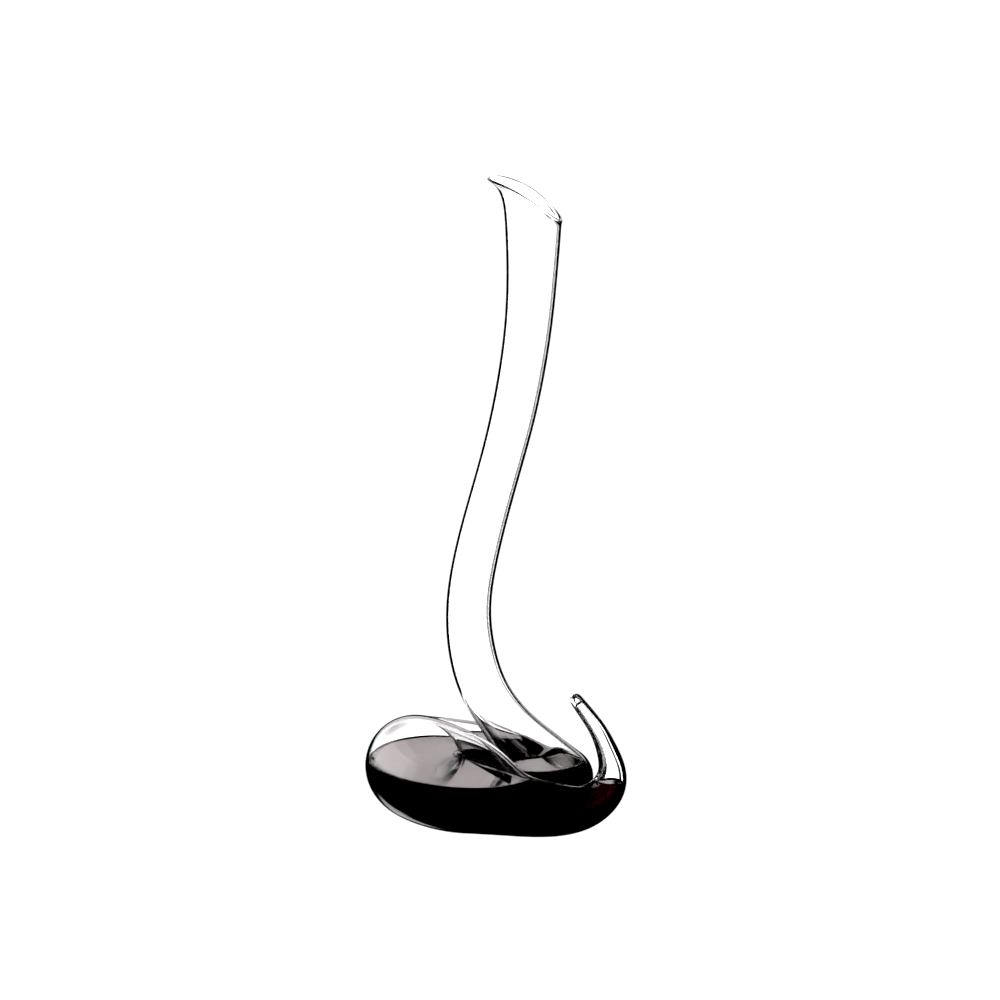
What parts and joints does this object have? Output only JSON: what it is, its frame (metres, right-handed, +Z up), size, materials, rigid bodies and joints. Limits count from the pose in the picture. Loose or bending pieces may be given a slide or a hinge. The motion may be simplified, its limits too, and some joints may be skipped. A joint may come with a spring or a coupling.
{
  "type": "wine decanter",
  "caption": "Tall mouth-blown glass decanter: a coiled hollow base with a curled closed tail, an S-curved neck and a slanted mouth with a pointed lip, part filled with red wine.",
  "frame": {"origin": "centre of the object's box at the surface that the coil rests on", "axes": "+Z up, +X towards the curled tail, -Y the side where the thick front of the coil and the tail lie, +Y the back of the coil"},
  "size_m": [0.1988, 0.1724, 0.4989],
  "materials": {
    "crystal": "clear fire-polished crystal",
    "wine": "still liquid, dark red"
  },
  "bodies": {
    "root": {"tail_tip": "crystal", "tail_stem": "crystal", "tail_base": "crystal", "coil_front": "crystal", "coil_bulb": "crystal", "coil_back": "crystal", "coil_turn": "crystal", "neck_root": "crystal", "neck_lower": "crystal", "neck_middle": "crystal", "neck_upper": "crystal", "mouth": "crystal", "wine": "wine"}
  },
  "joints": []
}
